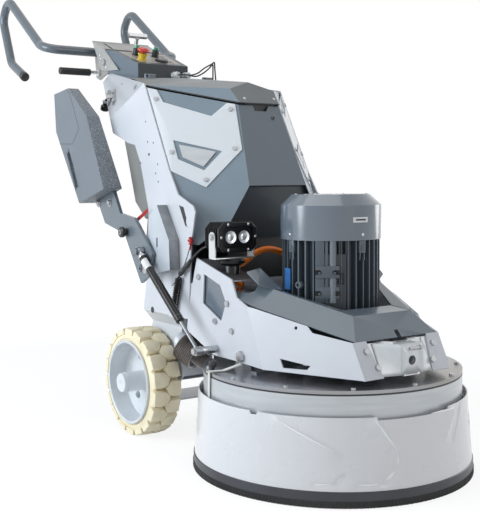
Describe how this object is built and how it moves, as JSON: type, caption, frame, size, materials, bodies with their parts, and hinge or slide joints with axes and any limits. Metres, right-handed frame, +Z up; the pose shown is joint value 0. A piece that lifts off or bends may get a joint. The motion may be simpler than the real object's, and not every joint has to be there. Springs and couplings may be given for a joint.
{
  "type": "concrete floor grinder",
  "caption": "Walk-behind planetary floor grinder with an upright electric motor, floating dust skirt, two wheels, folding weights, control console and loop handles.",
  "frame": {"origin": "middle of the footprint on the floor: on the machine's middle plane, halfway between the front of the dust skirt and the rear of the handles, at floor height", "axes": "+Z up; +Y towards the operator's handles, along the machine's length; +X to the right of someone who faces +Y"},
  "size_m": [0.8799, 2.4227, 1.7367],
  "materials": {
    "skirt_paint": "satin",
    "head_paint": "satin",
    "brush_rubber": "matte",
    "band_paint": "satin",
    "zinc": "satin",
    "gasket_rubber": "matte",
    "bolt_zinc": "satin",
    "motor_cast": "satin",
    "cowl_paint": "satin",
    "steel": "satin",
    "fan_plastic": "matte",
    "drive_steel": "satin",
    "tool_steel": "matte",
    "chassis_paint": "satin",
    "guard_paint": "satin",
    "cover_paint": "satin",
    "panel_paint": "gloss",
    "tank_paint": "satin",
    "drive_box": "matte",
    "hose_plastic": "satin",
    "console_plastic": "satin",
    "hood_paint": "satin",
    "tyre_rubber": "matte",
    "rim_paint": "satin",
    "weight_paint": "textured",
    "arm_paint": "satin",
    "spring_black": "gloss",
    "rod_chrome": "polished",
    "knob_black": "satin",
    "lamp_steel": "satin",
    "lamp_black": "satin",
    "carrier_paint": "satin",
    "handle_paint": "satin",
    "lever_chrome": "polished",
    "stop_red": "gloss",
    "start_green": "gloss",
    "cord_black": "satin",
    "cord_orange": "satin"
  },
  "bodies": {
    "frame": {"chassis": "chassis_paint", "front_bracket": "zinc", "motor_guard": "guard_paint", "column": "chassis_paint", "axle": "steel", "cabinet_cover": "cover_paint", "side_panels": "panel_paint", "rear_tank": "tank_paint", "frame_bolts": "bolt_zinc", "inverter": "drive_box", "console_box": "console_plastic", "console_cables": "cord_black", "lamp_cable": "cord_black", "curly_cord": "cord_black", "motor_cable": "cord_orange"},
    "head": {"head_lid": "zinc", "drum": "head_paint", "lid_gasket": "gasket_rubber", "lid_hardware": "bolt_zinc", "motor_stator": "motor_cast", "motor_cowl": "cowl_paint", "dust_hose": "hose_plastic"},
    "skirt": {"skirt_shell": "skirt_paint", "skirt_band": "band_paint", "skirt_brush": "brush_rubber"},
    "rotor": {"motor_shaft": "steel", "motor_fan": "fan_plastic"},
    "carrier": {"planet_disc": "drive_steel"},
    "satellite_1": {"spindle_1": "steel", "tool_plate_1": "tool_steel"},
    "satellite_2": {"spindle_2": "steel", "tool_plate_2": "tool_steel"},
    "satellite_3": {"spindle_3": "steel", "tool_plate_3": "tool_steel"},
    "hood": {"hood": "hood_paint"},
    "left_wheel": {"tyre_left": "tyre_rubber", "wheel_left": "rim_paint"},
    "left_weight": {"weight_left": "weight_paint", "weight_arm_left": "arm_paint"},
    "left_cylinder": {"gas_cylinder_left": "spring_black"},
    "left_rod": {"gas_rod_left": "rod_chrome"},
    "left_plunger": {"arm_knob_left": "knob_black"},
    "right_wheel": {"tyre_right": "tyre_rubber", "wheel_right": "rim_paint"},
    "right_weight": {"weight_right": "weight_paint", "weight_arm_right": "arm_paint"},
    "right_cylinder": {"gas_cylinder_right": "spring_black"},
    "right_rod": {"gas_rod_right": "rod_chrome"},
    "right_plunger": {"arm_knob_right": "knob_black"},
    "lamp_swivel": {"lamp_bracket": "lamp_steel"},
    "lamp": {"lamp_head": "lamp_black"},
    "handle": {"handle_carrier": "carrier_paint", "handlebars": "handle_paint"},
    "lever": {"release_lever": "lever_chrome"},
    "stop_button": {"emergency_stop": "stop_red"},
    "start_button_left": {"green_button_left": "start_green"},
    "start_button_right": {"green_button_right": "start_green"},
    "speed_dial": {"speed_knob": "knob_black"},
    "pull_handle": {"t_handle": "lever_chrome"},
    "side_plunger": {"column_knob": "knob_black"}
  },
  "joints": [
    {"name": "head_tilt", "type": "hinge", "parent": "frame", "child": "head", "pos_m": [0, -0.7094, 0.362], "axis": [1, 0, 0], "range_deg": [-1.5, 1.5], "deforming": ["motor_cable"]},
    {"name": "skirt_lift", "type": "slide", "parent": "head", "child": "skirt", "axis": [0, 0, 1], "range_m": [0, 0.02]},
    {"name": "rotor_spin", "type": "hinge", "parent": "head", "child": "rotor", "pos_m": [0, -0.7714, 0.5], "axis": [0, 0, 1], "continuous": true},
    {"name": "carrier_spin", "type": "hinge", "parent": "head", "child": "carrier", "pos_m": [0, -0.7714, 0.09], "axis": [0, 0, 1], "continuous": true},
    {"name": "satellite_1_spin", "type": "hinge", "parent": "carrier", "child": "satellite_1", "pos_m": [0, -0.5149, 0.09], "axis": [0, 0, 1], "continuous": true},
    {"name": "satellite_2_spin", "type": "hinge", "parent": "carrier", "child": "satellite_2", "pos_m": [-0.22214, -0.89965, 0.09], "axis": [0, 0, 1], "continuous": true},
    {"name": "satellite_3_spin", "type": "hinge", "parent": "carrier", "child": "satellite_3", "pos_m": [0.22214, -0.89965, 0.09], "axis": [0, 0, 1], "continuous": true},
    {"name": "left_wheel_spin", "type": "hinge", "parent": "frame", "child": "left_wheel", "pos_m": [-0.325, -0.1204, 0.191], "axis": [1, 0, 0], "continuous": true},
    {"name": "left_weight_fold", "type": "hinge", "parent": "frame", "child": "left_weight", "pos_m": [-0.35, -0.2114, 0.6], "axis": [1, 0, 0], "range_deg": [0, 140]},
    {"name": "left_cylinder_pivot", "type": "hinge", "parent": "left_weight", "child": "left_cylinder", "pos_m": [-0.371, -0.1964, 0.658], "axis": [1, 0, 0], "range_deg": [-150, 0]},
    {"name": "left_rod_slide", "type": "slide", "parent": "left_cylinder", "child": "left_rod", "axis": [0, -0.7906, -0.6123], "range_m": [-0.12, 0]},
    {"name": "left_plunger_pull", "type": "slide", "parent": "left_weight", "child": "left_plunger", "axis": [-1, 0, 0], "range_m": [0, 0.008], "stiffness_N_per_m": 1500, "springref_m": -0.004},
    {"name": "right_wheel_spin", "type": "hinge", "parent": "frame", "child": "right_wheel", "pos_m": [0.325, -0.1204, 0.191], "axis": [1, 0, 0], "continuous": true},
    {"name": "right_weight_fold", "type": "hinge", "parent": "frame", "child": "right_weight", "pos_m": [0.35, -0.2114, 0.6], "axis": [1, 0, 0], "range_deg": [0, 140]},
    {"name": "right_cylinder_pivot", "type": "hinge", "parent": "right_weight", "child": "right_cylinder", "pos_m": [0.371, -0.1964, 0.658], "axis": [1, 0, 0], "range_deg": [-150, 0]},
    {"name": "right_rod_slide", "type": "slide", "parent": "right_cylinder", "child": "right_rod", "axis": [0, -0.7906, -0.6123], "range_m": [-0.12, 0]},
    {"name": "right_plunger_pull", "type": "slide", "parent": "right_weight", "child": "right_plunger", "axis": [1, 0, 0], "range_m": [0, 0.008], "stiffness_N_per_m": 1500, "springref_m": -0.004},
    {"name": "hood_open", "type": "hinge", "parent": "frame", "child": "hood", "pos_m": [0, 0.1326, 1.30209], "axis": [-1, 0, 0], "range_deg": [0, 60]},
    {"name": "lamp_pan", "type": "hinge", "parent": "frame", "child": "lamp_swivel", "pos_m": [-0.247, -0.5834, 0.63], "axis": [0, 0, 1], "range_deg": [-90, 90], "deforming": ["lamp_cable"]},
    {"name": "lamp_tilt", "type": "hinge", "parent": "lamp_swivel", "child": "lamp", "pos_m": [-0.247, -0.5834, 0.718], "axis": [1, 0, 0], "range_deg": [-30, 30], "deforming": ["lamp_cable"]},
    {"name": "handle_tilt", "type": "hinge", "parent": "frame", "child": "handle", "pos_m": [0, 0.5186, 1.396], "axis": [-1, 0, 0], "range_deg": [0, 25]},
    {"name": "lever_pull", "type": "slide", "parent": "handle", "child": "lever", "axis": [-1, 0, 0], "range_m": [0, 0.012], "stiffness_N_per_m": 1500, "springref_m": -0.004},
    {"name": "stop_push", "type": "slide", "parent": "frame", "child": "stop_button", "axis": [0, 0.3502, -0.9367], "range_m": [0, 0.005]},
    {"name": "start_left_push", "type": "slide", "parent": "frame", "child": "start_button_left", "axis": [0, 0.3502, -0.9367], "range_m": [0, 0.003], "stiffness_N_per_m": 900, "springref_m": -0.002},
    {"name": "start_right_push", "type": "slide", "parent": "frame", "child": "start_button_right", "axis": [0, 0.3502, -0.9367], "range_m": [0, 0.003], "stiffness_N_per_m": 900, "springref_m": -0.002},
    {"name": "speed_turn", "type": "hinge", "parent": "frame", "child": "speed_dial", "pos_m": [0.02, 0.3126, 1.38469], "axis": [0, -0.3502, 0.9367], "range_deg": [-270, 0]},
    {"name": "handle_pull", "type": "slide", "parent": "frame", "child": "pull_handle", "axis": [0, -0.3502, 0.9367], "range_m": [0, 0.03]},
    {"name": "side_plunger_pull", "type": "slide", "parent": "frame", "child": "side_plunger", "axis": [0, 0.4106, -0.9118], "range_m": [0, 0.008], "stiffness_N_per_m": 1200, "springref_m": -0.003}
  ],
  "couplings": [
    {"joint": "carrier_spin", "follows": "rotor_spin", "ratio": 0.27193},
    {"joint": "satellite_1_spin", "follows": "rotor_spin", "ratio": -0.86808},
    {"joint": "satellite_2_spin", "follows": "rotor_spin", "ratio": -0.86808},
    {"joint": "satellite_3_spin", "follows": "rotor_spin", "ratio": -0.86808},
    {"joint": "left_cylinder_pivot", "follows": "left_weight_fold", "ratio": -1.0379},
    {"joint": "left_rod_slide", "follows": "left_weight_fold", "m_per_rad": -0.043237},
    {"joint": "right_cylinder_pivot", "follows": "right_weight_fold", "ratio": -1.0379},
    {"joint": "right_rod_slide", "follows": "right_weight_fold", "m_per_rad": -0.043237}
  ]
}
